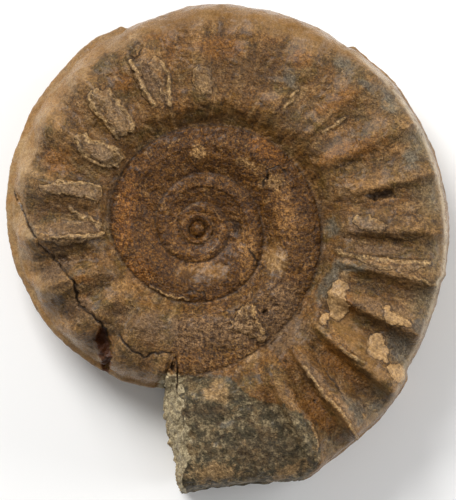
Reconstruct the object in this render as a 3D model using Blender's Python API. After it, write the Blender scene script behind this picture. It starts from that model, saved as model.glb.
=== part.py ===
"""A fossil ammonite of the genus Arnioceras: one worn coil of stone and shell, broken off at its mouth.

Metres, with +Z up along the axis of the coil. The fossil lies on its flank, and the origin is on the surface
under it, below the middle of its outline. +Y runs along its longest side.

A place on the coil is an angle in degrees that goes on growing from turn to turn, clockwise seen from above,
with 0 at +X. The last turn runs from 101.6 to the broken mouth at 453.2.
"""

import bmesh
import bpy
import numpy as np

MM = 0.001

# The coil's middle, from the middle of the outline, and the plane of the coil. The last turn is the thickest,
# so the fossil lies tipped by less than two degrees, with its ribs on the surface.
COIL_MIDDLE = (-5.34 * MM, 3.59 * MM)
PLANE_HEIGHT = 9.25 * MM
PLANE_RISE_X = 0.028
PLANE_RISE_Y = -0.012

# Where the last turn starts to lie outermost, and where it breaks off.
FREE_FROM = 101.6
MOUTH = 453.2
INNERMOST = -990.0

# The seam, where each turn leans on the turn inside it: coil angle in degrees, radius in millimetres.
SEAM = [
    (-810, 2.2), (-765, 2.5), (-720, 2.8), (-630, 2.8), (-585, 2.9), (-540, 3.4), (-495, 4.2), (-450, 4.8),
    (-405, 5.2), (-360, 5.6), (-315, 5.8), (-270, 6.0), (-225, 6.6), (-180, 7.6), (-135, 8.6), (-90, 10.0),
    (-45, 10.9), (0, 11.7), (45, 12.9), (90, 13.2), (135, 13.8), (180, 15.7), (225, 17.3), (270, 18.6),
    (315, 20.6), (360, 22.2), (405, 23.2), (430, 24.6), (450, 26.2), (462, 27.2),
]
TURN_GROWTH = 2.0
FIRST_CHAMBER_RADIUS = 2.6 * MM
FIRST_CHAMBER_HEIGHT = 2.5 * MM

# The outer edge of the last turn, over its keel, in the same way.
OUTER_EDGE = [
    (101.6, 29.4), (118, 30.6), (130, 31.2), (145, 32.1), (160, 32.9), (180, 34.4), (195, 35.3), (210, 36.4),
    (225, 37.5), (240, 38.8), (255, 39.5), (270, 41.2), (285, 42.1), (300, 42.9), (311, 43.3), (325, 44.1),
    (340, 44.6), (355, 45.1), (371, 45.5), (385, 45.9), (394, 46.2), (400, 47.0), (412, 47.6), (420, 48.2),
    (427, 49.1), (434, 47.7), (440, 47.0), (447, 46.9), (453.2, 47.8), (462, 48.6),
]

# Half the thickness of the coil at each angle.
HALF_THICKNESS = [
    (-1350, 2.4), (-990, 2.7), (-720, 3.0), (-540, 3.4), (-360, 4.0), (-180, 4.9), (0, 6.1), (90, 6.9),
    (180, 7.7), (270, 8.5), (360, 9.2), (462, 9.7),
]

# How square the turn's section is: 2 is an ellipse, 4 has flat flanks and a marked shoulder.
SQUARENESS = [(-990, 2.5), (90, 2.5), (110, 2.3), (250, 2.4), (320, 3.6), (462, 4.0)]
WALL_SHARE = 0.30
SEAM_DEPTH = 0.72
INNER_OVERLAP = 1.05

# The keel is a low ridge along the middle of the outer edge, and two stretches of it are worn away.
KEEL_HEIGHT = 0.9 * MM
KEEL_HALF_WIDTH = 0.9 * MM
KEEL_WORN = [(250, 310), (371.5, 395)]

# The crests of the ribs, and how far a crest stands above its furrow.
RIB_CRESTS = [
    0, 20, 41, 58, 76, 92, 105, 122.5, 141, 158.5, 177.5, 197, 217, 233, 253.5, 271.5, 286, 303.5, 319.5, 334, 347,
    361, 373.5, 386, 400, 412.5, 424, 437,
]
RIB_RISE = [
    (0, 0.0), (20, 0.25), (92, 0.35), (130, 0.55), (150, 0.9), (200, 0.9), (255, 0.7), (275, 0.4), (290, 0.4),
    (305, 0.7), (320, 1.0), (347, 1.1), (361, 1.5), (425, 1.5), (434, 0.0), (462, 0.0),
]
UNDERSIDE_RIBS = 0.8

# The broken mouth: the angle of the break at each radius, and how far its top edge stands back from its foot.
BREAK_ANGLE = [(29.4, 101.6), (31.4, 101.2), (35.7, 99.0), (39.2, 96.9), (42.6, 95.1), (46.2, 94.3), (47.8, 93.2)]
BREAK_SETBACK = [(27, 2.2), (31, 3.0), (39, 3.0), (42, 1.8), (44, 1.1), (48, 1.0)]
LIP = 0.4 * MM

# Places where the fossil has lost a piece: x, y and the half lengths of the hollow along and across, its turn
# in degrees, and its depth, in millimetres.
HOLLOWS = [
    (-22.2, -18.2, 3.4, 1.3, -75, 1.3),
    (-9.7, -21.2, 1.6, 0.9, -80, 1.0),
    (27.2, 9.9, 3.1, 1.1, 8, 0.5),
]

# The surface is laid out in spokes and rings. The inner rings end at one radius all round, inside the mouth.
SPOKES = 440
INNER_RINGS = 64
OUTER_RINGS = 46
INNER_ZONE = 27.0 * MM
PATH_SAMPLES = 500
SOLID_TRIANGLES = 9600

COLOUR = (0.155, 0.088, 0.040, 1.0)
ROUGHNESS = 0.5


def through(points, at):
    """A smooth curve through the given points, read at one or many places."""
    x, y = np.array(points, float).T
    slope = np.gradient(y, x)
    i = np.clip(np.searchsorted(x, at) - 1, 0, len(x) - 2)
    span = x[i + 1] - x[i]
    t = np.clip((at - x[i]) / span, 0.0, 1.0)
    start = (1 + 2 * t) * (1 - t) ** 2 * y[i] + t * (1 - t) ** 2 * span * slope[i]
    return start + t * t * (3 - 2 * t) * y[i + 1] + t * t * (t - 1) * span * slope[i + 1]


def ramp(low, high, value):
    """0 below low and 1 above high, with a soft start and end."""
    t = np.clip((value - low) / (high - low), 0.0, 1.0)
    return t * t * (3 - 2 * t)


def seam_radius(angle):
    first = SEAM[0][0]
    early = SEAM[0][1] * TURN_GROWTH ** ((np.minimum(angle, first) - first) / 360)
    return np.where(angle < first, early, through(SEAM, np.maximum(angle, first))) * MM


def keel_height(angle):
    worn = np.zeros_like(angle)
    for start, end in KEEL_WORN:
        worn = np.maximum(worn, ramp(start - 1, start + 1, angle) * (1 - ramp(end - 1, end + 1, angle)))
    return KEEL_HEIGHT * (1 - worn)


def outer_radius(angle):
    """The radius of the turn's outer edge under its keel, also where the next turn hides it."""
    free = through(OUTER_EDGE, np.maximum(angle, FREE_FROM)) * MM - KEEL_HEIGHT
    return np.where(angle < FREE_FROM, INNER_OVERLAP * seam_radius(angle + 360), free)


def rib_wave(angle):
    """1 on a crest and 0 in a furrow, steeper on the side towards the mouth."""
    crests = np.array(RIB_CRESTS, float)
    i = np.clip(np.searchsorted(crests, angle) - 1, 0, len(crests) - 2)
    share = np.clip((angle - crests[i]) / (crests[i + 1] - crests[i]), 0.0, 1.0)
    return (0.5 + 0.5 * np.cos(2 * np.pi * share ** 0.85)) ** 1.2


def turn_height(angle, radius, ribs):
    """How high one turn of the coil stands over the coil's plane, or less than nothing outside that turn."""
    seam = seam_radius(angle)
    edge = outer_radius(angle)
    half = through(HALF_THICKNESS, angle) * MM
    square = through(SQUARENESS, angle)
    across = (radius - seam) / (edge - seam)
    foot = SEAM_DEPTH * through(HALF_THICKNESS, angle - 360) * MM
    wall = foot + (half - foot) * np.sin(0.5 * np.pi * np.clip(across / WALL_SHARE, 0, 1)) ** 0.9
    out = np.clip(2 * across - 1, 0.0, 1.0)
    flank = half * (1 - out ** square) ** (1 / square)
    height = np.where(across < 0.5, np.minimum(wall, half), flank)
    rise = through(RIB_RISE, np.clip(angle, 0, MOUTH)) * MM * ribs
    reach = ramp(0.12, 0.6, across) * (1 - ramp(0.86, 1.0, across))
    height = height + rise * reach * (rib_wave(angle) - 0.5)
    proud = np.clip((radius - edge) / KEEL_HEIGHT, -1.0, 1.0)
    keel = KEEL_HALF_WIDTH * np.sqrt(np.clip(1 - proud, 0.0, 1.0))
    has_keel = (angle >= FREE_FROM) & (radius <= edge + keel_height(angle))
    height = np.where(has_keel, np.maximum(height, keel), height)
    return np.where((across < 0) | ((across > 1) & ~has_keel), -1.0, height)


def broken_height(angle, radius):
    """The sloping face of the broken mouth, as a height over the coil's plane."""
    half = through(HALF_THICKNESS, angle) * MM
    behind = radius * np.radians(through(BREAK_ANGLE, np.clip(radius / MM, 29.4, 47.8)) + 360 - angle)
    setback = through(BREAK_SETBACK, np.clip(radius / MM, 27, 48)) * MM
    return half * (2 * behind / setback - 1)


def coil_height(angle, radius, ribs, broken):
    """The highest of all the turns at this angle and radius. The angle lies on the last turn."""
    last = turn_height(angle, radius, ribs)
    if broken:
        last = np.minimum(last, broken_height(angle, radius))
    height = np.maximum(last, FIRST_CHAMBER_HEIGHT * (1 - (radius / FIRST_CHAMBER_RADIUS) ** 2))
    inner = angle - 360
    while inner.max() > INNERMOST:
        height = np.maximum(height, turn_height(np.maximum(inner, INNERMOST), radius, ribs))
        inner = inner - 360
    return np.maximum(height, 0.0)


def outline():
    """Points round the fossil's edge, anticlockwise from the mouth: their angles and radii."""
    angle = np.linspace(MOUTH, FREE_FROM, 1400)
    radius = outer_radius(angle) + keel_height(angle)
    break_radius = np.linspace(BREAK_ANGLE[0][0], BREAK_ANGLE[-1][0], 120)[1:]
    break_angle = through(BREAK_ANGLE, break_radius)
    return np.append(angle, break_angle), np.append(radius, break_radius * MM)


def plane_height(x, y):
    return PLANE_HEIGHT + PLANE_RISE_X * x + PLANE_RISE_Y * y


def hollow_depth(x, y):
    depth = np.zeros_like(x)
    for at_x, at_y, along, across, turn, deep in HOLLOWS:
        c, s = np.cos(np.radians(turn)), np.sin(np.radians(turn))
        u = ((x / MM - at_x) * c + (y / MM - at_y) * s) / along
        v = ((y / MM - at_y) * c - (x / MM - at_x) * s) / across
        depth = depth + deep * MM * np.clip(1 - u * u - v * v, 0.0, 1.0)
    return depth


def spoke_path(angle, start, end):
    """Points out along one spoke, first on the upper side and then on the underside."""
    radius = np.linspace(start, end, PATH_SAMPLES)
    on_coil = np.full_like(radius, angle if angle > FREE_FROM else angle + 360)
    by_mouth = angle <= FREE_FROM or angle > MOUTH - 20
    lower = -coil_height(on_coil, radius, UNDERSIDE_RIBS, False)
    upper = coil_height(on_coil, radius, 1.0, by_mouth)
    x = COIL_MIDDLE[0] + radius * np.cos(np.radians(angle))
    y = COIL_MIDDLE[1] - radius * np.sin(np.radians(angle))
    upper = np.maximum(upper - hollow_depth(x, y), lower + (LIP if by_mouth else 0.0))
    middle = plane_height(x, y)
    return np.stack([x, y, middle + upper], axis=1), np.stack([x, y, middle + lower], axis=1)


def evenly(points, count):
    """The given count of steps along a path, all of one length."""
    steps = np.linalg.norm(np.diff(points, axis=0), axis=1)
    length = np.append(0.0, np.cumsum(steps))
    share = np.linspace(0.0, length[-1], count + 1)
    return np.stack([np.interp(share, length, points[:, k]) for k in range(3)], axis=1)


def spoke_points(angle, edge):
    """The rings' places on one spoke, from the middle of the upper side round to the middle underneath."""
    top_in, under_in = spoke_path(angle, 0.0, INNER_ZONE)
    top_out, under_out = spoke_path(angle, INNER_ZONE, edge)
    rim = np.concatenate([top_out, under_out[::-1]])
    return np.concatenate([
        evenly(top_in, INNER_RINGS),
        evenly(rim, 2 * OUTER_RINGS)[1:],
        evenly(under_in[::-1], INNER_RINGS)[1:],
    ])


def coil_mesh():
    """A sphere whose rings and spokes are laid over the fossil, from the middle out and back underneath."""
    angle, edge = outline()
    x, y = edge * np.cos(np.radians(angle)), -edge * np.sin(np.radians(angle))
    length = np.append(0.0, np.cumsum(np.hypot(np.diff(x), np.diff(y))))
    places = np.linspace(0.0, length[-1], SPOKES, endpoint=False)
    angles = np.interp(places, length, angle)
    edges = np.interp(places, length, edge)
    spokes = [spoke_points(a, r) for a, r in zip(angles, edges)]
    rings = 2 * (INNER_RINGS + OUTER_RINGS)

    bm = bmesh.new()
    bmesh.ops.create_uvsphere(bm, u_segments=SPOKES, v_segments=rings, radius=1.0)
    for vert in bm.verts:
        spoke = round(np.arctan2(vert.co.y, vert.co.x) / (2 * np.pi) * SPOKES) % SPOKES
        ring = round(np.arccos(np.clip(vert.co.z, -1.0, 1.0)) / np.pi * rings)
        vert.co = spokes[spoke][ring]
    bmesh.ops.triangulate(bm, faces=bm.faces)
    mesh = bpy.data.meshes.new("ammonite")
    bm.to_mesh(mesh)
    bm.free()
    return mesh


def worn_stone():
    material = bpy.data.materials.new("brown fossil stone")
    material.use_nodes = True
    shader = material.node_tree.nodes["Principled BSDF"]
    shader.inputs["Base Color"].default_value = COLOUR
    shader.inputs["Roughness"].default_value = ROUGHNESS
    shader.inputs["Metallic"].default_value = 0.0
    material.diffuse_color = COLOUR
    return material


def new_collection(name):
    collection = bpy.data.collections.new(name)
    bpy.context.scene.collection.children.link(collection)
    return collection


def surface_below(collection):
    """A block under the resting surface. What it cuts off are the worn flats of the lowest ribs."""
    bm = bmesh.new()
    bmesh.ops.create_cube(bm, size=0.2)
    bmesh.ops.translate(bm, verts=bm.verts, vec=(0, 0, -0.1))
    mesh = bpy.data.meshes.new("worn flats")
    bm.to_mesh(mesh)
    bm.free()
    block = bpy.data.objects.new("worn_flats", mesh)
    block.hide_render = True
    block.display_type = "WIRE"
    collection.objects.link(block)
    return block


for old in list(bpy.data.objects):
    bpy.data.objects.remove(old, do_unlink=True)

ammonite = bpy.data.objects.new("ammonite", coil_mesh())
ammonite.data.materials.append(worn_stone())
ammonite.data.shade_smooth()
new_collection("fossil_ammonite").objects.link(ammonite)

thinned = ammonite.modifiers.new("fewer triangles", "DECIMATE")
thinned.ratio = SOLID_TRIANGLES / len(ammonite.data.polygons)
flats = ammonite.modifiers.new("worn flats", "BOOLEAN")
flats.operation = "DIFFERENCE"
flats.object = surface_below(new_collection("cutters"))
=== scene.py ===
import math

import bmesh
import bpy
import numpy as np
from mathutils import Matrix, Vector


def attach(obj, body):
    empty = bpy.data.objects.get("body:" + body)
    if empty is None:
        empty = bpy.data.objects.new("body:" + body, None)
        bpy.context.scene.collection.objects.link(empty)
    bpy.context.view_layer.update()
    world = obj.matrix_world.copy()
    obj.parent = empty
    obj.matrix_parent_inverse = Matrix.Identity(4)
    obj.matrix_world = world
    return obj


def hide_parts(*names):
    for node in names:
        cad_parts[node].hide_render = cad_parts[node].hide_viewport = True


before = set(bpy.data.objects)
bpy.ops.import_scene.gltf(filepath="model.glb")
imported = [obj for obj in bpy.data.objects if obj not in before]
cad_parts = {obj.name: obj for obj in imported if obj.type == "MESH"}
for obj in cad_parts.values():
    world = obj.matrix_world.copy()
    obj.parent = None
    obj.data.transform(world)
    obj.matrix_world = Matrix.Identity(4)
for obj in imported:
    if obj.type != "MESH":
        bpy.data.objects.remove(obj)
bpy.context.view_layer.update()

# The view. The fossil lies on its flank and is seen from straight above through a long lens. The middle of
# its outline is within a pixel of the middle of the picture, and PIXEL is one pixel in millimetres.
MM = 0.001
PIXEL = 0.18
PICTURE = (456, 500)
OUTLINE_MIDDLE = (227.5, 249.0)
CAMERA_HEIGHT = 1600.0
FOCUS_HEIGHT = 12.0
SENSOR = 36.0


def from_picture(px, py):
    """A place in the photograph, as millimetres from the middle of the fossil's outline."""
    return (px - OUTLINE_MIDDLE[0]) * PIXEL, (OUTLINE_MIDDLE[1] - py) * PIXEL


camera = bpy.data.objects.new("camera", bpy.data.cameras.new("camera"))
bpy.context.scene.collection.objects.link(camera)
camera_x, camera_y = from_picture(PICTURE[0] / 2, PICTURE[1] / 2)
camera.location = (camera_x * MM, camera_y * MM, CAMERA_HEIGHT * MM)
camera.data.sensor_width = SENSOR
camera.data.lens = SENSOR * (CAMERA_HEIGHT - FOCUS_HEIGHT) / (PICTURE[1] * PIXEL)
camera.data.clip_end = 10.0
bpy.context.scene.camera = camera

# The coil. The real thing is one shell of limestone, calcite and hardened mud, grown in a flat open spiral.
# Its turns lean on one another along a seam, and the last one ends in a broken mouth. The tables go by coil
# angle: degrees that grow on from turn to turn, clockwise from above, with 0 at +X. Sizes are millimetres.
COIL_MIDDLE = (-5.34, 3.59)
PLANE_HEIGHT = 9.25
PLANE_RISE_X = 0.028
PLANE_RISE_Y = -0.012
FREE_FROM = 101.6
MOUTH = 453.2
INNERMOST = -990.0
SEAM = [
    (-810, 2.2), (-765, 2.5), (-720, 2.8), (-630, 2.8), (-585, 2.9), (-540, 3.4), (-495, 4.2), (-450, 4.8),
    (-405, 5.2), (-360, 5.6), (-315, 5.8), (-270, 6.0), (-225, 6.6), (-180, 7.6), (-135, 8.6), (-90, 10.0),
    (-45, 10.9), (0, 11.7), (45, 12.9), (90, 13.2), (135, 13.8), (180, 15.7), (225, 17.3), (270, 18.6),
    (315, 20.6), (360, 22.2), (405, 23.2), (430, 24.6), (450, 26.2), (462, 27.2),
]
TURN_GROWTH = 2.0
FIRST_CHAMBER_RADIUS = 2.6
FIRST_CHAMBER_HEIGHT = 2.5
OUTER_EDGE = [
    (101.6, 29.4), (118, 30.6), (130, 31.2), (145, 32.1), (160, 32.9), (180, 34.4), (195, 35.3), (210, 36.4),
    (225, 37.5), (240, 38.8), (255, 39.5), (270, 41.2), (285, 42.1), (300, 42.9), (311, 43.3), (325, 44.1),
    (340, 44.6), (355, 45.1), (371, 45.5), (385, 45.9), (394, 46.2), (400, 47.0), (412, 47.6), (420, 48.2),
    (427, 49.1), (434, 47.7), (440, 47.0), (447, 46.9), (453.2, 47.8), (462, 48.6),
]
HALF_THICKNESS = [
    (-1350, 2.4), (-990, 2.7), (-720, 3.0), (-540, 3.4), (-360, 4.0), (-180, 4.9), (0, 6.1), (90, 6.9),
    (180, 7.7), (270, 8.5), (360, 9.2), (462, 9.7),
]
SQUARENESS = [(-990, 2.5), (90, 2.5), (110, 2.3), (250, 2.4), (320, 4.4), (462, 5.0)]
RIB_SQUARES = 0.20
WALL_SHARE = [(-990, 0.6), (-60, 0.6), (110, 0.3), (170, 0.26), (462, 0.26)]
SEAM_DEPTH = 0.86
INNER_WALL_CURVE = 1.1
LAST_WALL_CURVE = 1.35
INNER_TURN_CURVE = 2.2
INNER_OVERLAP = 1.05
INNER_TURN_DROP = 0.13
KEEL_FILLET = [(101, 1.6), (280, 1.6), (320, 0.2), (462, 0.2)]
KEEL_HEIGHT = [(101, 0.9), (285, 0.9), (320, 0.45), (462, 0.45)]
KEEL_LOSS = 0.9
KEEL_HALF_WIDTH = 0.9
KEEL_WORN = [(250, 310), (371.5, 395)]
RIB_CRESTS = [
    0, 20, 41, 58, 76, 92, 105, 122.5, 141, 158.5, 177.5, 197, 217, 233, 253.5, 271.5, 286, 303.5, 319.5, 334,
    347, 361, 373.5, 386, 400, 412.5, 424, 437,
]
RIB_RISE = [
    (0, 0.0), (20, 0.3), (92, 0.5), (112, 1.0), (130, 1.5), (150, 1.6), (200, 1.5), (240, 1.2), (275, 0.85),
    (290, 0.85), (305, 1.0), (320, 1.3), (347, 1.45), (361, 1.5), (425, 1.6), (434, 0.0), (462, 0.0),
]
RIB_LEAN = [(0, 0.8), (260, 0.78), (320, 0.68), (462, 0.60)]
RIB_NARROWNESS = [(0, 1.2), (150, 1.3), (270, 1.4), (310, 1.5), (420, 1.6), (462, 1.6)]
RIB_MIDDLE = 0.45
RIB_STARTS = (0.05, 0.42)
RIB_ENDS = (0.94, 1.0)
UNDERSIDE_RIBS = 0.8
BREAK_ANGLE = [
    (29.4, 101.6), (31.4, 101.2), (35.7, 99.0), (39.2, 96.9), (42.6, 95.1), (46.2, 94.3), (47.8, 93.2),
]
BREAK_SETBACK = [(27, 2.2), (31, 3.0), (39, 3.0), (42, 1.8), (44, 1.1), (48, 1.0)]
BREAK_FOOT = 0.1
LIP = 0.4
SPOKES = 1100
INNER_RINGS = 150
OUTER_RINGS = 100
UNDER_SHARE = 0.4
INNER_ZONE = 27.0
PATH_SAMPLES = 500
EDGE_SAMPLES = 1400
BREAK_SAMPLES = 120
MERGE_DISTANCE = 0.001
FAR = 9.0


def through(points, at):
    """A smooth curve through the given points and level beyond them, read at many places."""
    x, y = np.array(points, float).T
    slope = np.gradient(y, x)
    i = np.clip(np.searchsorted(x, at) - 1, 0, len(x) - 2)
    span = x[i + 1] - x[i]
    t = np.clip((at - x[i]) / span, 0.0, 1.0)
    start = (1 + 2 * t) * (1 - t) ** 2 * y[i] + t * (1 - t) ** 2 * span * slope[i]
    return start + t * t * (3 - 2 * t) * y[i + 1] + t * t * (t - 1) * span * slope[i + 1]


def ramp(low, high, value):
    """0 below low and 1 above high, with a soft start and end."""
    t = np.clip((value - low) / (high - low), 0.0, 1.0)
    return t * t * (3 - 2 * t)


def seam_radius(angle):
    """The radius of a turn's inner edge. Inside the table's first row the turns shrink by the same factor."""
    first = SEAM[0][0]
    early = SEAM[0][1] * TURN_GROWTH ** ((np.minimum(angle, first) - first) / 360)
    return np.where(angle < first, early, through(SEAM, angle))


def keel_wear(angle):
    """1 where the keel is worn away and 0 where it stands."""
    worn = np.zeros_like(angle)
    for start, end in KEEL_WORN:
        worn = np.maximum(worn, ramp(start - 1, start + 1, angle) * (1 - ramp(end - 1, end + 1, angle)))
    return worn


def keel_height(angle):
    return through(KEEL_HEIGHT, angle) * (1 - keel_wear(angle))


def outer_radius(angle):
    """The radius of the turn's outer edge under its keel, also where the next turn hides it."""
    free = through(OUTER_EDGE, angle) - keel_height(angle) - KEEL_LOSS * keel_wear(angle)
    return np.where(angle < FREE_FROM, INNER_OVERLAP * seam_radius(angle + 360), free)


def rib_wave(angle):
    """1 on a crest and 0 in a furrow, steeper on the side towards the mouth."""
    crests = np.array(RIB_CRESTS, float)
    i = np.clip(np.searchsorted(crests, angle) - 1, 0, len(crests) - 2)
    share = np.clip((angle - crests[i]) / (crests[i + 1] - crests[i]), 0.0, 1.0)
    phase = share ** through(RIB_LEAN, angle)
    return (0.5 + 0.5 * np.cos(2 * np.pi * phase)) ** through(RIB_NARROWNESS, angle)


def rib_rise(angle):
    return through(RIB_RISE, np.minimum(angle, MOUTH))


def turn_height(angle, radius, ribs):
    """How high one turn of the coil stands over the coil's plane, or less than nothing outside that turn."""
    seam = seam_radius(angle)
    edge = outer_radius(angle)
    half = through(HALF_THICKNESS, angle)
    wave = rib_wave(angle) - RIB_MIDDLE
    rise = rib_rise(angle) * ribs
    square = through(SQUARENESS, angle) * (1 + RIB_SQUARES * rise * wave)
    across = (radius - seam) / (edge - seam)
    foot = SEAM_DEPTH * through(HALF_THICKNESS, angle - 360)
    climb = np.sin(0.5 * np.pi * np.clip(across / through(WALL_SHARE, angle), 0, 1))
    wall = foot + (half - foot) * climb ** np.where(angle > 0, LAST_WALL_CURVE, INNER_WALL_CURVE)
    out = np.clip(2 * across - 1, 0.0, 1.0)
    flank = half * (1 - out ** square) ** (1 / square)
    inner_flank = half * (1 - INNER_TURN_DROP * out ** INNER_TURN_CURVE)
    flank = np.where(angle < FREE_FROM, inner_flank, flank)
    height = np.where(across < 0.5, np.minimum(wall, half), flank)
    reach = ramp(*RIB_STARTS, across) * (1 - ramp(*RIB_ENDS, across))
    height = height + rise * reach * wave
    proud = np.clip((radius - edge) / through(KEEL_HEIGHT, angle), -1.0, 1.0)
    keel = KEEL_HALF_WIDTH * np.sqrt(np.clip(1 - proud, 0.0, 1.0))
    has_keel = (angle >= FREE_FROM) & (radius <= edge + keel_height(angle))
    fillet = through(KEEL_FILLET, angle)
    near = np.clip(1 - np.abs(height - keel) / fillet, 0.0, 1.0) * np.clip(1 - proud, 0.0, 1.0)
    height = np.where(has_keel, np.maximum(height, keel) + fillet * near ** 2 / 4, height)
    return np.where((across < 0) | ((across > 1) & ~has_keel), -1.0, height)


def broken_height(angle, radius):
    """The sloping face of the broken mouth, as a height over the coil's plane."""
    half = through(HALF_THICKNESS, angle)
    behind = radius * np.radians(through(BREAK_ANGLE, radius) + 360 - angle)
    share = behind / through(BREAK_SETBACK, radius)
    return half * (BREAK_FOOT + (1 - BREAK_FOOT) * np.maximum(share, 0.0) ** 0.8)


def coil_height(angle, radius, ribs, at_mouth):
    """The highest of all the turns on each spoke. The spokes' angles, a column, lie on the last turn."""
    height = turn_height(angle, radius, ribs)
    height[at_mouth] = np.minimum(height[at_mouth], broken_height(angle[at_mouth], radius[at_mouth]))
    height = np.maximum(height, FIRST_CHAMBER_HEIGHT * (1 - (radius / FIRST_CHAMBER_RADIUS) ** 2))
    inner = angle - 360
    while inner.max() > INNERMOST and radius.min() < outer_radius(inner).max():
        height = np.maximum(height, turn_height(np.maximum(inner, INNERMOST), radius, ribs))
        inner = inner - 360
    return np.maximum(height, 0.0)


def spoke_ends():
    """Angle and radius of each spoke's outer end, evenly spaced round the outline from the mouth."""
    angle = np.linspace(MOUTH, FREE_FROM, EDGE_SAMPLES)
    radius = outer_radius(angle) + keel_height(angle)
    break_radius = np.linspace(BREAK_ANGLE[0][0], BREAK_ANGLE[-1][0], BREAK_SAMPLES)[1:]
    angle = np.append(angle, through(BREAK_ANGLE, break_radius))
    radius = np.append(radius, break_radius)
    x, y = radius * np.cos(np.radians(angle)), -radius * np.sin(np.radians(angle))
    length = np.append(0.0, np.cumsum(np.hypot(np.diff(x), np.diff(y))))
    places = np.linspace(0.0, length[-1], SPOKES, endpoint=False)
    return np.interp(places, length, angle), np.interp(places, length, radius)


def spoke_paths(angle, start, end):
    """Points out along each spoke, on the upper side and on the underside."""
    share = np.linspace(0.0, 1.0, PATH_SAMPLES)
    radius = start + (end - start)[:, None] * share
    turn = np.where(angle > FREE_FROM, angle, angle + 360)[:, None]
    at_mouth = turn[:, 0] > MOUTH - 20
    lower = -coil_height(turn, radius, UNDERSIDE_RIBS, np.zeros_like(at_mouth))
    lip = np.where(at_mouth, LIP, 0.0)[:, None]
    upper = np.maximum(coil_height(turn, radius, 1.0, at_mouth), lower + lip)
    x = COIL_MIDDLE[0] + radius * np.cos(np.radians(turn))
    y = COIL_MIDDLE[1] - radius * np.sin(np.radians(turn))
    middle = PLANE_HEIGHT + PLANE_RISE_X * x + PLANE_RISE_Y * y
    return np.stack([x, y, middle + upper], axis=2), np.stack([x, y, middle + lower], axis=2)


def evenly(points, count):
    """The given count of steps along a path, all of one length."""
    steps = np.linalg.norm(np.diff(points, axis=0), axis=1)
    length = np.append(0.0, np.cumsum(steps))
    share = np.linspace(0.0, length[-1], count + 1)
    return np.stack([np.interp(share, length, points[:, k]) for k in range(3)], axis=1)


def laid_out_rings():
    """The place of every ring on every spoke, from the middle of the top round to the middle underneath."""
    angle, edge = spoke_ends()
    inner_end = np.full_like(edge, INNER_ZONE)
    top_in, under_in = spoke_paths(angle, 0.0, inner_end)
    top_out, under_out = spoke_paths(angle, INNER_ZONE, edge)
    under_inner = round(INNER_RINGS * UNDER_SHARE)
    under_outer = round(OUTER_RINGS * UNDER_SHARE)
    rows = []
    for k in range(SPOKES):
        rows.append(np.concatenate([
            evenly(top_in[k], INNER_RINGS),
            evenly(np.concatenate([top_out[k], under_out[k][-1:]]), OUTER_RINGS)[1:],
            evenly(under_out[k][::-1], under_outer)[1:],
            evenly(under_in[k][::-1], under_inner)[1:],
        ]))
    return np.array(rows)


def vertex_places(mesh):
    places = np.empty(len(mesh.vertices) * 3, np.float32)
    mesh.vertices.foreach_get("co", places)
    return places.reshape(-1, 3).astype(float) / MM


def set_vertex_places(mesh, places):
    mesh.vertices.foreach_set("co", (places * MM).astype(np.float32).ravel())
    mesh.update()


def coil_mesh():
    """A grid that is wrapped round the fossil, spoke by spoke, and closed where its ends meet."""
    rows = laid_out_rings()
    rings = rows.shape[1] - 1
    mesh = bpy.data.meshes.new("ammonite stone")
    bm = bmesh.new()
    bmesh.ops.create_grid(bm, x_segments=SPOKES, y_segments=rings, size=1.0)
    bm.to_mesh(mesh)
    bm.free()
    flat = vertex_places(mesh) * MM
    spoke = np.round((flat[:, 0] + 1) / 2 * SPOKES).astype(int) % SPOKES
    ring = np.round((flat[:, 1] + 1) / 2 * rings).astype(int)
    set_vertex_places(mesh, rows[spoke, ring])
    bm = bmesh.new()
    bm.from_mesh(mesh)
    border = [vertex for vertex in bm.verts if vertex.is_boundary]
    bmesh.ops.remove_doubles(bm, verts=border, dist=MERGE_DISTANCE * MM)
    bmesh.ops.recalc_face_normals(bm, faces=bm.faces)
    bm.to_mesh(mesh)
    bm.free()
    return mesh


def place_on_coil(x, y):
    """Coil angle, and the share of the way from seam to outer edge, of the turn that shows at each place."""
    radius = np.hypot(x - COIL_MIDDLE[0], y - COIL_MIDDLE[1])
    angle = np.degrees(np.arctan2(COIL_MIDDLE[1] - y, x - COIL_MIDDLE[0])) % 360
    turn_start = np.where(radius > INNER_ZONE, through(BREAK_ANGLE, radius), FREE_FROM)
    shown = np.where(angle > turn_start, angle, angle + 360)
    further_in = radius < seam_radius(shown)
    while further_in.any():
        shown = np.where(further_in, shown - 360, shown)
        further_in = (radius < seam_radius(shown)) & (shown > INNERMOST + 360)
    seam = seam_radius(shown)
    return shown, (radius - seam) / (outer_radius(shown) - seam)


WAVES_IN_ALL = 14


def waves(places, size, seed):
    """Smooth random waves of about the given size, from about -2 to 2."""
    random = np.random.default_rng(seed)
    total = np.zeros(len(places))
    for _ in range(WAVES_IN_ALL):
        direction = random.normal(size=3)
        direction *= 2 * np.pi / (size * random.uniform(0.7, 1.5)) / np.linalg.norm(direction)
        total += np.sin(places @ direction + random.uniform(0, 2 * np.pi))
    return total / math.sqrt(WAVES_IN_ALL / 2)


def rough(places, grains):
    """Waves of several sizes together. Each grain is a height, a size and a seed."""
    return sum(height * waves(places, size, seed) for height, size, seed in grains)


def in_millimetres(pixels):
    return [from_picture(px, py) for px, py in pixels]


def distance_to_path(x, y, pixels):
    """Millimetres to a path that is given in picture pixels."""
    path = in_millimetres(pixels)
    best = np.full(x.shape, 99.0)
    for (ax, ay), (bx, by) in zip(path, path[1:]):
        span = (bx - ax) ** 2 + (by - ay) ** 2
        t = np.clip(((x - ax) * (bx - ax) + (y - ay) * (by - ay)) / span, 0.0, 1.0)
        best = np.minimum(best, np.hypot(x - ax - t * (bx - ax), y - ay - t * (by - ay)))
    return best


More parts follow.
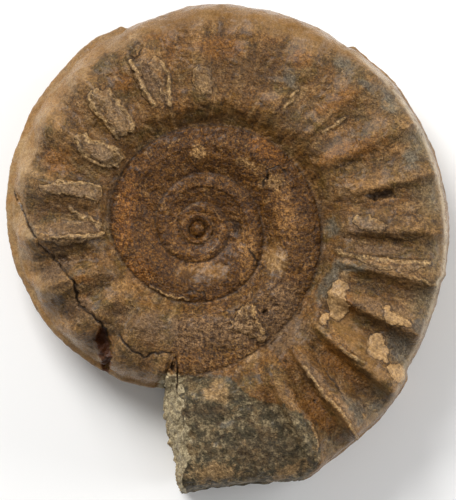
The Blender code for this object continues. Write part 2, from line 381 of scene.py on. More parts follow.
def depth_inside(x, y, pixels):
    """Millimetres inside a closed outline that is given in picture pixels, less than 0 outside it."""
    around = pixels + pixels[:1]
    closed = in_millimetres(around)
    crossings = np.zeros(x.shape, int)
    for (ax, ay), (bx, by) in zip(closed, closed[1:]):
        if ay != by:
            crossings += ((ay > y) != (by > y)) & (x < (bx - ax) * (y - ay) / (by - ay) + ax)
    return np.where(crossings % 2 == 1, 1.0, -1.0) * distance_to_path(x, y, around)


def ellipse(x, y, px, py, half_along, half_across, turn):
    """1 in the middle of an ellipse given in picture pixels, 0 on its edge and less outside."""
    at_x, at_y = from_picture(px, py)
    c, s = math.cos(math.radians(turn)), math.sin(math.radians(turn))
    u = ((x - at_x) * c + (y - at_y) * s) / (half_along * PIXEL)
    v = ((y - at_y) * c - (x - at_x) * s) / (half_across * PIXEL)
    return 1 - np.hypot(u, v)


# Shell that is still on the stone. The outer shell has flaked off most of the fossil, and what is left of it
# lies on the crests of the ribs as thin ragged plates with a pale broken edge. The pale chips are of the same
# shell, broken through to its cream inside, and the smooth shell is unworn. Outlines are in picture pixels.
OUTLINE_SHAKE = (0.16, 0.07)
SHELL_STEP = 0.34
SHELL_FLAKES = [
    [(73, 135), (86, 133), (88, 141), (106, 144), (123, 157), (117, 166), (103, 166), (94, 158), (82, 153),
     (76, 141)],
    [(88, 97), (96, 88), (110, 92), (117, 104), (126, 116), (135, 126), (133, 132), (117, 138), (111, 125),
     (94, 110)],
    [(129, 60), (142, 62), (141, 79), (148, 92), (155, 104), (152, 106), (143, 95), (136, 80)],
    [(147, 63), (154, 57), (164, 62), (170, 76), (169, 91), (171, 107), (166, 106), (164, 97), (156, 84)],
    [(351, 218), (365, 214), (388, 227), (383, 232), (360, 230)],
    [(332, 250), (342, 249), (344, 255), (380, 257), (429, 262), (429, 266), (404, 271), (380, 268),
     (363, 262)],
    [(248, 302), (258, 304), (257, 313), (262, 328), (268, 338), (262, 343), (246, 334), (230, 328),
     (236, 312)],
    [(40, 186), (60, 182), (98, 184), (103, 192), (98, 204), (86, 198), (60, 195), (42, 193)],
    [(192, 70), (202, 67), (211, 69), (212, 94), (204, 95), (194, 86)],
    [(48, 240), (70, 236), (100, 234), (105, 230), (96, 219), (84, 213), (100, 221), (106, 228), (104, 238),
     (60, 246)],
]
CHIP_STEP = 0.306
PALE_CHIPS = [
    [(337, 278), (347, 283), (344, 298), (350, 307), (345, 314), (338, 322), (327, 314), (327, 294)],
    [(383, 306), (388, 304), (394, 315), (409, 320), (412, 327), (396, 325), (384, 322)],
    [(370, 333), (381, 333), (386, 346), (388, 362), (376, 361), (366, 351)],
    [(388, 364), (399, 363), (404, 371), (401, 384), (390, 378)],
    [(322, 312), (329, 316), (326, 326), (318, 322)],
]
SMOOTH_SHELL = [
    [(40, 132), (42, 112), (52, 92), (62, 84), (66, 96), (68, 118), (60, 128), (50, 134)],
    [(263, 242), (276, 238), (286, 250), (292, 262), (284, 277), (268, 277), (262, 262)],
    [(176, 262), (196, 266), (216, 262), (232, 266), (228, 280), (204, 285), (184, 282), (172, 272)],
    [(325, 295), (352, 310), (372, 344), (392, 392), (380, 398), (352, 352), (330, 322)],
]

# The cracks. One old crack runs in from the left edge and opens in a deep gouge above the lower left rim,
# with red clay in it; shorter ones cross the last rib before the mouth. Each has a half width and a depth in
# millimetres, then its picture pixels.
CRACK_SHAKE = 0.12
STAINED_CRACK_SHAKE = 0.10
CRACKS = [
    (0.09, 0.5, [(12, 190), (22, 208), (27, 220), (40, 246), (54, 258), (64, 271), (75, 283)]),
    (0.14, 0.7, [(75, 283), (77, 296), (79, 305), (94, 316), (104, 327), (108, 336)]),
    (0.08, 0.4, [(119, 334), (125, 342), (132, 350), (145, 357), (155, 352), (170, 352)]),
    (0.08, 0.4, [(176, 358), (178, 375), (177, 392)]),
    (0.06, 0.2, [(248, 248), (254, 256), (258, 262)]),
    (0.06, 0.2, [(186, 292), (196, 290), (204, 294)]),
    (0.06, 0.2, [(262, 188), (268, 170), (280, 166), (288, 176)]),
    (0.07, 0.25, [(345, 400), (336, 385), (326, 372)]),
]
GOUGE = [(99, 328), (106, 330), (111, 345), (112, 360), (108, 376), (103, 372), (99, 354), (96, 338)]
GOUGE_DEPTH = 1.6

# Places where a piece is lost or the stone is eaten away: picture pixels, half length, half width, turn in
# degrees, and depth in millimetres.
HOLLOWS = [
    (173.5, 366, 8, 3, -80, 0.8),
    (268, 178, 3.2, 2.4, 60, 0.6),
    (279, 189, 2.0, 1.4, 0, 0.5),
    (265, 312, 6, 4, 30, 0.7),
    (64, 258, 7, 4, -50, 0.35),
    (238, 228, 10, 6, -75, 0.3),
    (313, 400, 4, 3, -40, 0.5),
    (287, 361, 4, 2.5, 0, 0.5),
]
SQUARE_PIT = [(362, 195), (377, 191), (392, 188), (396, 197), (380, 201), (367, 200)]
SQUARE_PIT_DEPTH = 0.8
EATEN_PATCH = [(384, 226), (394, 214), (410, 214), (424, 224), (425, 236), (408, 242), (392, 239), (383, 236)]
EATEN_RISE = 0.15
EATEN_ROUGHNESS = 0.16
OVAL_RING = [(137, 42), (142, 48), (140, 56), (133, 61), (130, 54), (132, 45)]
OVAL_RING_DEPTH = 0.25

# Narrow standing edges of shell along the ribs: half width and height in millimetres, then picture pixels.
RIDGE_SHAKE = (0.12, 0.06)
RIDGE_GAIN = 1.2
RIDGES = [
    (0.32, 0.30, [(88, 97), (94, 110), (104, 120), (113, 130), (117, 138)]),
    (0.36, 0.45, [(109, 90), (118, 103), (127, 114), (134, 126), (133, 131)]),
    (0.32, 0.36, [(131, 61), (137, 74), (145, 90), (155, 106)]),
    (0.32, 0.36, [(162, 62), (168, 74), (170, 90), (171, 106)]),
    (0.28, 0.28, [(58, 181), (66, 182), (86, 183)]),
    (0.28, 0.28, [(45, 239), (62, 237), (84, 236), (103, 234)]),
    (0.32, 0.28, [(70, 208), (80, 216), (92, 220), (100, 227)]),
    (0.32, 0.32, [(86, 134), (89, 141), (106, 144), (118, 151), (123, 158)]),
    (0.32, 0.26, [(76, 142), (84, 155), (100, 166), (118, 166)]),
    (0.32, 0.34, [(297, 92), (290, 101), (283, 110)]),
    (0.28, 0.28, [(345, 118), (334, 126), (322, 134)]),
    (0.30, 0.34, [(338, 254), (365, 257), (398, 262), (428, 262)]),
    (0.26, 0.26, [(400, 274), (420, 280), (434, 285)]),
    (0.30, 0.36, [(320, 392), (335, 405), (350, 424), (356, 437)]),
    (0.28, 0.30, [(338, 345), (350, 355), (362, 362)]),
    (0.30, 0.30, [(304, 366), (316, 384), (326, 398)]),
    (0.28, 0.28, [(252, 306), (256, 318), (264, 333)]),
    (0.26, 0.26, [(150, 287), (160, 292), (172, 298), (188, 299)]),
    (0.28, 0.30, [(312, 425), (317, 442), (317, 462)]),
]

# The filling. Grey mudstone fills the last turn. It lies bare at the broken mouth, where shell and ribs are
# gone, and it is rougher than the shell.
MUDSTONE = [
    (163, 372), (187, 376), (230, 376), (237, 384), (257, 400), (283, 405), (301, 412), (312, 425),
    (316, 436), (319, 453), (318, 465), (314, 469), (299, 484), (288, 500), (160, 505), (150, 400),
]
MUD_LOSS = 0.2
MUD_GRAIN = [(0.10, 2.6, 7), (0.06, 1.1, 8)]
BROKEN_ROUGHNESS = 0.22


def shaken(places, coarse, fine, seed):
    """Places shaken by a fraction of a millimetre, so that what follows an outline has a broken edge."""
    x = places[:, 0] + coarse * waves(places, 1.6, seed) + fine * waves(places, 0.7, seed + 1)
    y = places[:, 1] + coarse * waves(places, 1.6, seed + 2) + fine * waves(places, 0.7, seed + 3)
    return x, y


def ragged(places, seed):
    """The same, as strongly as the plates, chips and patches need."""
    return shaken(places, *OUTLINE_SHAKE, seed)


def upper_side(places):
    """1 on the upper side and 0 on the underside, changing at the keel."""
    middle = PLANE_HEIGHT + PLANE_RISE_X * places[:, 0] + PLANE_RISE_Y * places[:, 1]
    return ramp(-0.6, 0.6, places[:, 2] - middle)


def depth_in_any(x, y, outlines):
    """Millimetres inside the nearest of several outlines, less than 0 outside all of them."""
    depth = np.full(x.shape, -FAR)
    for outline in outlines:
        depth = np.maximum(depth, depth_inside(x, y, outline))
    return depth


def shell_depth(places):
    """Millimetres inside the nearest plate of shell on the upper side."""
    depth = depth_in_any(*ragged(places, 11), SHELL_FLAKES)
    return np.where(upper_side(places) > 0.5, depth, -FAR)


def chip_depth(places):
    """Millimetres inside the nearest pale chip on the upper side."""
    depth = depth_in_any(*ragged(places, 91), PALE_CHIPS)
    return np.where(upper_side(places) > 0.5, depth, -FAR)


def underside_shell_depth(places):
    """The same for the underside, which has its own plates, one on every second rib or so."""
    random = np.random.default_rng(5)
    x, y = ragged(places, 21)
    depth = np.full(len(places), -FAR)
    for crest in RIB_CRESTS[6:-2]:
        if random.random() < 0.4:
            continue
        near, far = seam_radius(np.array(float(crest))), outer_radius(np.array(float(crest)))
        turn = np.radians(crest + random.uniform(-2, 2))
        middle = near + (far - near) * random.uniform(0.45, 0.65)
        length, width = random.uniform(2.5, 5.5), random.uniform(0.9, 1.8)
        u = (x - COIL_MIDDLE[0]) * np.cos(turn) - (y - COIL_MIDDLE[1]) * np.sin(turn) - middle
        v = (x - COIL_MIDDLE[0]) * np.sin(turn) + (y - COIL_MIDDLE[1]) * np.cos(turn)
        depth = np.maximum(depth, width * (1 - np.maximum(np.abs(u) / length, np.abs(v) / width)))
    return np.where(upper_side(places) < 0.5, depth, -FAR)


def beside_cracks(places, shake):
    """Places shaken a little, so that the cracks run unevenly."""
    return places[:, 0] + shake * waves(places, 1.5, 31), places[:, 1] + shake * waves(places, 1.5, 32)


def crack_distance(places):
    """Millimetres from the wall of the nearest crack, less than 0 in it. The cracks go right through."""
    x, y = beside_cracks(places, STAINED_CRACK_SHAKE)
    nearest = np.full(len(places), FAR)
    for width, _, path in CRACKS:
        nearest = np.minimum(nearest, distance_to_path(x, y, path) - width)
    return nearest


# The surface. The stone has a fine grain, and thin layers have flaked off it. The ribs end in small raised
# tips at the outer edge, and a groove follows every seam. Each grain is a height, a size and a seed.
STONE_GRAIN = [(0.09, 9.0, 1), (0.05, 3.5, 2), (0.03, 1.5, 3)]
INNER_GRAIN = [(0.03, 1.7, 4), (0.03, 0.8, 5)]
LAYER_SHAPE = [(1.0, 5.5, 61), (0.7, 2.2, 62), (0.35, 0.95, 63)]
LAST_TURN_RELIEF_FROM = (95, 110)
LAYER_LEVEL = 0.2
LAYER_STEP = 0.13
GROOVE_DEPTH = 0.16
GROOVE_WIDTH = 0.25
TIP_HEIGHT = 0.25
TIP_PLACE = 0.95
TIP_WIDTH = 0.03
TIPS_FROM = (295, 310)


def flaking(places):
    """A field that is above 0 where a thin upper layer of the stone is still on."""
    return rough(places, LAYER_SHAPE) / 1.3 - LAYER_LEVEL


def seam_distance(shown, radius):
    """Millimetres to the nearest seam between two turns."""
    outer_seam = np.where(shown < FREE_FROM, seam_radius(shown + 360) - radius, FAR)
    return np.minimum(np.abs(radius - seam_radius(shown)), np.abs(outer_seam))


def broken_share(shown, radius):
    """Above 0 on the broken face at the mouth, less than 0 away from it."""
    turn = np.where(shown < 150, shown + 360, shown)
    behind = radius * np.radians(through(BREAK_ANGLE, radius) + 360 - turn)
    return 1.1 - behind / through(BREAK_SETBACK, radius)


def ridge_distance(places):
    """Distance to the middle of the nearest standing edge, in its half widths, and that edge's height."""
    x, y = shaken(places, *RIDGE_SHAKE, 81)
    nearest = np.full(len(places), FAR)
    height = np.zeros(len(places))
    for half_width, rise, path in RIDGES:
        away = distance_to_path(x, y, path) / half_width
        height = np.where(away < nearest, rise, height)
        nearest = np.minimum(nearest, away)
    return np.where(upper_side(places) > 0.5, nearest, FAR), height


def relief(places):
    """How far the surface stands out from the smooth coil, in millimetres."""
    shown, across = place_on_coil(places[:, 0], places[:, 1])
    radius = np.hypot(places[:, 0] - COIL_MIDDLE[0], places[:, 1] - COIL_MIDDLE[1])
    top = upper_side(places)
    x, y = ragged(places, 41)
    bare = ramp(-0.3, 0.3, depth_inside(x, y, MUDSTONE))
    last = ramp(*LAST_TURN_RELIEF_FROM, shown)
    covered = last * (1 - bare) * (1 - ramp(0.84, 0.92, across))

    out = rough(places, STONE_GRAIN) + (1 - last) * rough(places, INNER_GRAIN)
    out += LAYER_STEP * (0.35 + 0.65 * covered) * ramp(-0.12, 0.12, flaking(places))
    out -= GROOVE_DEPTH * np.exp(-(seam_distance(shown, radius) / GROOVE_WIDTH) ** 2) * (1 - bare)
    shell = np.maximum(shell_depth(places), underside_shell_depth(places))
    out += SHELL_STEP * ramp(-0.05, 0.22, shell)
    out += CHIP_STEP * ramp(-0.05, 0.22, chip_depth(places))
    away, rise = ridge_distance(places)
    out += RIDGE_GAIN * rise * np.exp(-away ** 2)
    at_tip = np.exp(-((across - TIP_PLACE) / TIP_WIDTH) ** 2) * ramp(*TIPS_FROM, shown)
    out += TIP_HEIGHT * rib_wave(shown) ** 3 * at_tip * (1 - bare)

    crack_x, crack_y = beside_cracks(places, CRACK_SHAKE)
    for width, depth, path in CRACKS:
        away = distance_to_path(crack_x, crack_y, path)
        out -= depth * np.exp(-(away / (2.0 * width)) ** 2)
    out -= top * GOUGE_DEPTH * ramp(-0.1, 0.9, depth_inside(x, y, GOUGE))
    out -= top * SQUARE_PIT_DEPTH * ramp(-0.05, 0.35, depth_inside(x, y, SQUARE_PIT))
    eaten = depth_inside(x, y, EATEN_PATCH)
    out += top * ramp(-0.1, 0.5, eaten) * (EATEN_RISE + EATEN_ROUGHNESS * waves(places, 2.2, 6))
    oval_edge = np.abs(depth_inside(x, y, OVAL_RING))
    out -= top * OVAL_RING_DEPTH * ramp(0.35, 0.05, oval_edge)
    for px, py, along, wide, turn, depth in HOLLOWS:
        out -= top * depth * ramp(0.0, 0.7, ellipse(x, y, px, py, along, wide, turn))
    out += bare * (rough(places, MUD_GRAIN) - MUD_LOSS)
    broken = ramp(-0.3, 0.3, broken_share(shown, radius))
    out += BROKEN_ROUGHNESS * bare * broken * waves(places, 2.0, 9)
    return out


# The colours' places. Iron, clay and weather have stained the stone and the shell in patches that the form
# doesn't show, and among the dark and pale marks lie painted shade and painted highlights. Each mark is
# picture pixels, half length and half width in pixels, and turn in degrees.
RUST_STAINS = [
    (80, 279, 12, 6, 0), (86, 301, 12, 7, -50), (104, 345, 18, 9, -80), (340, 360, 30, 14, -48),
    (320, 415, 34, 12, -48), (345, 300, 20, 8, -60), (222, 50, 30, 16, -10), (125, 215, 40, 12, 85),
    (300, 60, 16, 10, -30), (60, 160, 22, 14, 0), (268, 150, 22, 12, -30), (125, 85, 14, 12, 15),
    (160, 33, 22, 8, 20), (350, 150, 50, 10, 20), (140, 270, 20, 10, -30), (340, 100, 30, 9, 30),
]
ORANGE_PATCHES = [
    (52, 110, 14, 24, 20), (345, 330, 26, 13, -50), (384, 262, 40, 4, -5), (335, 405, 30, 9, -48),
    (120, 290, 26, 14, 20), (205, 268, 30, 10, 0), (274, 258, 14, 18, 0), (392, 148, 20, 8, 10),
    (370, 190, 24, 14, 0), (45, 310, 10, 16, 40), (75, 330, 20, 10, -30), (85, 62, 26, 12, 45),
    (340, 130, 24, 6, 25), (245, 250, 14, 30, 0), (285, 215, 14, 36, 0),
]
LILAC_PATCHES = [
    (120, 108, 22, 7, -52), (152, 80, 24, 10, -65), (100, 152, 20, 7, -25), (65, 190, 36, 6, 0),
    (70, 228, 34, 7, 0), (55, 272, 24, 10, 25), (205, 330, 70, 20, 0), (285, 330, 30, 26, 30),
    (315, 378, 30, 8, -52), (348, 408, 30, 8, -55), (385, 308, 36, 8, -15), (380, 250, 40, 6, 0),
    (85, 305, 16, 8, -30), (150, 325, 26, 14, 0), (282, 300, 20, 24, 0), (360, 228, 20, 6, 0),
]
SLATE_PATCHES = [
    (343, 62, 12, 16, 30), (388, 100, 10, 16, 20), (28, 232, 8, 12, 0), (290, 80, 8, 12, 20),
    (344, 268, 8, 6, 0), (352, 412, 12, 20, 35), (410, 160, 10, 14, 0), (333, 228, 10, 12, 0),
    (330, 280, 8, 30, -30), (400, 345, 22, 12, -35), (432, 330, 10, 24, 70), (415, 372, 8, 20, 55),
    (385, 412, 8, 24, 50), (355, 268, 16, 5, 0), (62, 72, 12, 8, 45), (365, 85, 12, 5, -35),
]
# Pale marks: partly pale stone and shell, partly painted highlights such as the whitish streaks along the
# left rim.
PALE_SPOTS_AND_HIGHLIGHTS = [
    (386, 104, 4, 3, 0), (345, 273, 5, 4, 0), (252, 356, 11, 7, 10), (27, 232, 6, 8, 0),
    (199, 152, 8, 9, 20), (245, 163, 12, 6, -20), (272, 182, 14, 10, 0), (215, 392, 15, 12, 0),
    (340, 290, 6, 10, 0), (396, 316, 12, 6, -25), (395, 368, 8, 8, 0), (374, 345, 8, 12, 10),
    (132, 36, 6, 4, 0), (25, 150, 8, 30, -12), (28, 170, 12, 6, 0), (204, 84, 9, 12, 0),
    (290, 470, 24, 7, 25), (215, 472, 30, 12, 5), (300, 95, 12, 5, 50), (60, 293, 14, 4, 25),
    (277, 262, 12, 14, 0),
]
# Dark marks: partly dark spots in the stone, partly painted shade in the rib furrows, on the walls of the
# turns and on the top of the last turn.
DARK_SPOTS_AND_SHADE = [
    (64, 258, 6, 4, -50), (268, 318, 12, 8, 30), (236, 228, 5, 12, 10), (60, 208, 40, 7, 0),
    (62, 248, 34, 6, 0), (62, 290, 16, 5, 25), (375, 288, 50, 7, -4), (385, 328, 34, 7, -20),
    (372, 396, 22, 10, -30), (200, 120, 60, 6, 5), (112, 195, 6, 40, -8), (380, 233, 40, 4, 0),
    (118, 135, 8, 6, 0), (206, 410, 28, 8, 0), (320, 150, 30, 6, 30), (322, 225, 4, 50, 0),
    (200, 375, 30, 3, 0), (105, 282, 24, 6, 20), (120, 310, 14, 8, 0), (270, 83, 4, 3, 0),
    (265, 450, 36, 24, 0), (380, 193, 14, 5, 5), (95, 345, 8, 14, 40), (330, 385, 12, 5, -50),
    (75, 243, 34, 6, 0), (245, 72, 60, 26, 0), (396, 291, 38, 8, -3), (400, 344, 24, 12, -35),
    (418, 330, 14, 10, -60), (335, 432, 20, 10, -50), (360, 405, 24, 8, -50), (60, 305, 26, 12, -30),
    (290, 120, 20, 10, -30),
]
RUSTINESS = [
    (-990, 0.9), (-360, 0.9), (-100, 0.85), (0, 0.6), (40, 0.3), (90, 0.25), (130, 0.35), (165, 0.3),
    (200, 0.4), (230, 0.6), (262, 0.8), (300, 0.6), (335, 0.5), (360, 0.35), (385, 0.5), (405, 0.8),
    (425, 0.8), (462, 0.3),
]
# The rim's paleness by coil angle: paler on the left side, which faces the key light, and browner at the top
# and right. It is partly the rim's own tone and partly painted light and shade.
RIM_TONE_AND_LIGHT = [
    (101, 0.5), (135, 0.85), (160, 0.95), (205, 1.0), (225, 0.7), (250, 0.2), (280, 0.1), (310, 0.3),
    (330, 0.2), (462, 0.15),
]
CENTRE_RINGS = [2.9, 4.3]
LAST_TURN_FROM = (100, 104)
RIGHT_FLANK = (295, 335)
RIM_START = 0.85
RIM_START_RIGHT = 0.13
RIM_START_FIRST = 0.05
FIRST_RIBS = (170, 120)
# Where a painted highlight runs along the shoulder of the last turn, on its right flank.
SHOULDER_PLACE = 0.975
SHOULDER_WIDTH = 0.014
SHOULDER_FADES = (425, 365)
GROWTH_RADIUS = 34.0


def spots(x, y, marks, top):
    """1 in the middle of the marks, 0 at their edges and less outside. The underside has none of them."""
    nearest = np.full(x.shape, -2.0)
    for mark in marks:
        nearest = np.maximum(nearest, ellipse(x, y, *mark))
    return np.where(top > 0.5, nearest, -2.0)


def pit_depth(x, y):
    """Above 0 in the pits and along the undercut edge of the eaten patch, which the picture shows darker."""
    # This field marks where the shader paints shade in the pits, the hollows and along the undercut edge.
    depth = depth_inside(x, y, SQUARE_PIT)
    depth = np.maximum(depth, 0.24 - np.abs(depth_inside(x, y, EATEN_PATCH) - 0.1))
    depth = np.maximum(depth, 0.26 - np.abs(depth_inside(x, y, OVAL_RING) - 0.1))
    for px, py, along, wide, turn, _ in HOLLOWS:
        depth = np.maximum(depth, 0.6 * ellipse(x, y, px, py, along, wide, turn) - 0.1)
    return depth


def place_masks(mesh):
    """Writes on every vertex where each finish lies: distances in millimetres, or shares from 0 to 1."""
    places = vertex_places(mesh)
    x, y = ragged(places, 41)
    shown, across = place_on_coil(places[:, 0], places[:, 1])
    radius = np.hypot(places[:, 0] - COIL_MIDDLE[0], places[:, 1] - COIL_MIDDLE[1])
    top = upper_side(places)
    last = ramp(*LAST_TURN_FROM, shown)
    wave = rib_wave(shown)
    shell = np.maximum(shell_depth(places), underside_shell_depth(places))
    smooth = depth_in_any(x, y, SMOOTH_SHELL)
    right = ramp(*RIGHT_FLANK, shown)
    rim_start = RIM_START + RIM_START_RIGHT * right + RIM_START_FIRST * ramp(*FIRST_RIBS, shown)
    rim = last * (across - rim_start) * 20 - 2 * (1 - last)
    ridge, _ = ridge_distance(places)
    # A painted highlight along the shoulder of the right flank.
    shoulder = last * right * np.exp(-((across - SHOULDER_PLACE) / SHOULDER_WIDTH) ** 2)
    rings = np.full(len(places), FAR)
    for ring in CENTRE_RINGS:
        rings = np.minimum(rings, np.abs(radius + 0.1 * waves(places, 2.0, 71) - ring))
    masks = {
        "shell": np.clip(shell, -2, 2),
        "flaking": flaking(places),
        "smooth": np.clip(smooth, -2, 2),
        "rim": np.clip(rim, -2, 2),
        "shoulder": shoulder * ramp(*SHOULDER_FADES, shown),
        "crest": last * wave * ramp(0.1, 0.4, across),
        # The furrow mask carries painted shade between the ribs.
        "furrow": last * (1 - wave) * ramp(0.1, 0.35, across) * np.clip(rib_rise(shown), 0, 1.5),
        "rusty": through(RUSTINESS, shown),
        "inner": 1 - last,
        "seam": np.clip(seam_distance(shown, radius), 0, 2),
        "rings": np.clip(rings, 0, 2),
        "crack": np.clip(crack_distance(places), -2, 2),
        "gouge": np.where(top > 0.5, np.clip(depth_inside(x, y, GOUGE), -2, 2), -2.0),
        "mud": np.clip(depth_inside(x, y, MUDSTONE), -2, 2),
        "ridge": np.clip(ridge, 0, 4),
        # The rim's tone by angle, partly painted light and shade.
        "rim_tone_and_light": through(RIM_TONE_AND_LIGHT, shown),
        "stain": spots(x, y, RUST_STAINS, top),
        "orange": spots(x, y, ORANGE_PATCHES, top),
        "lilac": spots(x, y, LILAC_PATCHES, top),
        "slate": spots(x, y, SLATE_PATCHES, top),
        # The pale marks include painted highlights.
        "pale": spots(x, y, PALE_SPOTS_AND_HIGHLIGHTS, top),
        # The dark marks include painted shade.
        "dark": spots(x, y, DARK_SPOTS_AND_SHADE, top),
        "broken": np.clip(broken_share(shown, radius) * 3 + 0.5 * waves(places, 2.0, 92), -3, 3),
        "chip": np.clip(chip_depth(places), -2, 2),
        # Painted shade in the pits, the hollows and the undercut edge.
        "pit": np.where(top > 0.5, np.clip(pit_depth(x, y), -2, 2), -2.0),
        # A painted reflection in the right flank's furrows near the shoulder.
        "painted_reflection": last * right * (1 - wave) * ramp(0.70, 0.93, across),
    }
    for name, values in masks.items():
        layer = mesh.attributes.new(name, "FLOAT", "POINT")
        layer.data.foreach_set("value", values.astype(np.float32))
    along = np.radians(shown) * GROWTH_RADIUS
    growth = np.stack([along, radius, places[:, 2]], axis=1) * MM
    layer = mesh.attributes.new("growth", "FLOAT_VECTOR", "POINT")
    layer.data.foreach_set("vector", growth.astype(np.float32).ravel())


# The mesh of the piece. It starts as an even grid, takes the relief, and is thinned so that most of its
# triangles lie where the detail is.
MOST_TRIANGLES = 192000


def fossil_mesh():
    """The coil with all its relief, thinned to the triangles that its detail needs."""
    mesh = coil_mesh()
    places = vertex_places(mesh)
    normals = np.empty(len(mesh.vertices) * 3, np.float32)
    mesh.vertex_normals.foreach_get("vector", normals)
    places = places + normals.reshape(-1, 3) * relief(places)[:, None]
    places[:, 2] = np.maximum(places[:, 2], 0.0)
    set_vertex_places(mesh, places)

    dense = bpy.data.objects.new("rough fossil", mesh)
    bpy.context.scene.collection.objects.link(dense)
    thin = dense.modifiers.new("thin", "DECIMATE")
    thin.ratio = MOST_TRIANGLES / (2 * len(mesh.polygons))
    bpy.context.view_layer.update()
    made = bpy.data.meshes.new_from_object(dense.evaluated_get(bpy.context.evaluated_depsgraph_get()))
    bpy.data.objects.remove(dense)
    made.name = "fossil"
    place_masks(made)
    made.shade_smooth()
    return made


# The finish. The stone is mottled brown limestone, rusty in the inner turns and greyer on the ribs, with
# paler, glossier shell, and the filling is dull grey mud. Colours are linear, as the shader takes them.
BROWN = (0.145, 0.072, 0.018, 1)
# Dark brown serves both for dark marks in the stone and for painted shade.
DARK_BROWN_AND_SHADE = (0.036, 0.019, 0.008, 1)
OLIVE = (0.098, 0.064, 0.017, 1)
RUST = (0.185, 0.080, 0.015, 1)
ORANGE_TAN = (0.300, 0.165, 0.062, 1)
TAN = (0.330, 0.215, 0.105, 1)
LILAC_GREY = (0.155, 0.098, 0.055, 1)
SLATE = (0.120, 0.108, 0.085, 1)
SHOULDER_HIGHLIGHT_CREAM = (0.50, 0.40, 0.27, 1)
MUD_DARK = (0.052, 0.044, 0.026, 1)
MUD_BROWN = (0.125, 0.087, 0.043, 1)
MUD_PALE = (0.250, 0.205, 0.128, 1)
# The broken face's mud, painted paler as if lit.
PAINTED_LIT_BROKEN_MUD = (0.330, 0.290, 0.200, 1)
SHELL_GREY = (0.235, 0.165, 0.100, 1)
PALE_TAN = (0.400, 0.275, 0.140, 1)
UMBER = (0.082, 0.037, 0.006, 1)
REFLECTION_GREY_GREEN = (0.150, 0.128, 0.078, 1)
CREAM_TAN = (0.410, 0.260, 0.122, 1)
CLAY_RED = (0.060, 0.014, 0.004, 1)
DARK_GRAIN = (0.44, 0.36, 0.26, 1)
PALE_GRAIN = (1.50, 1.43, 1.28, 1)
SMOOTHEST = 0.28
GLOSS = 0.22
COAT = 0.09
COAT_ROUGHNESS = 0.2
BUMP_HEIGHT = 0.38


class Finish:
    """A material's node tree, with a short call for each kind of node that the fossil's surface needs."""

    def __init__(self, name):
        self.material = bpy.data.materials.new(name)
        self.material.use_nodes = True
        self.tree = self.material.node_tree
        self.shader = self.tree.nodes["Principled BSDF"]
        self.space = self.tree.nodes.new("ShaderNodeTexCoord").outputs["Object"]

    def feed(self, socket, value):
        if isinstance(value, bpy.types.NodeSocket):
            self.tree.links.new(value, socket)
        else:
            socket.default_value = value

    def mask(self, name):
        node = self.tree.nodes.new("ShaderNodeAttribute")
        node.attribute_name = name
        return node.outputs["Fac"]

    def noise(self, size_mm, detail=4.0, rough=0.55, offset=0.0):
        shift = self.tree.nodes.new("ShaderNodeMapping")
        self.feed(shift.inputs["Vector"], self.space)
        shift.inputs["Location"].default_value = (offset, 1.7 * offset, 0.6 * offset)
        node = self.tree.nodes.new("ShaderNodeTexNoise")
        self.feed(node.inputs["Vector"], shift.outputs["Vector"])
        node.inputs["Scale"].default_value = 1 / (size_mm * MM)
        node.inputs["Detail"].default_value = detail
        node.inputs["Roughness"].default_value = rough
        return node.outputs["Fac"]

    def streaks(self, across_mm, along_mm):
        """Noise that is drawn out along the ribs."""
        place = self.tree.nodes.new("ShaderNodeAttribute")
        place.attribute_name = "growth"
        stretch = self.tree.nodes.new("ShaderNodeMapping")
        self.feed(stretch.inputs["Vector"], place.outputs["Vector"])
        stretch.inputs["Scale"].default_value = (1 / across_mm, 1 / along_mm, 1 / along_mm)
        node = self.tree.nodes.new("ShaderNodeTexNoise")
        self.feed(node.inputs["Vector"], stretch.outputs["Vector"])
        node.inputs["Scale"].default_value = 1 / MM
        node.inputs["Detail"].default_value = 4.0
        node.inputs["Roughness"].default_value = 0.6
        return node.outputs["Fac"]

    def math(self, operation, a, b):
        node = self.tree.nodes.new("ShaderNodeMath")
        node.operation = operation
        self.feed(node.inputs[0], a)
        self.feed(node.inputs[1], b)
        return node.outputs["Value"]

    def times(self, a, b):
        return self.math("MULTIPLY", a, b)

    def plus(self, a, b):
        return self.math("ADD", a, b)

    def minus(self, a, b):
        return self.math("SUBTRACT", a, b)

    def larger(self, a, b):
        return self.math("MAXIMUM", a, b)

    def between(self, low, high, value):
        """0 at low and 1 at high, clamped and smooth."""
        node = self.tree.nodes.new("ShaderNodeMapRange")
        node.interpolation_type = "SMOOTHSTEP"
        self.feed(node.inputs["Value"], value)
        node.inputs["From Min"].default_value = low
        node.inputs["From Max"].default_value = high
        return node.outputs["Result"]

    def mix(self, share, first, second, blend="MIX"):
        node = self.tree.nodes.new("ShaderNodeMix")
        node.data_type = "RGBA"
        node.blend_type = blend
        self.feed(node.inputs["Factor"], share)
        self.feed(node.inputs["A"], first)
        self.feed(node.inputs["B"], second)
        return node.outputs["Result"]


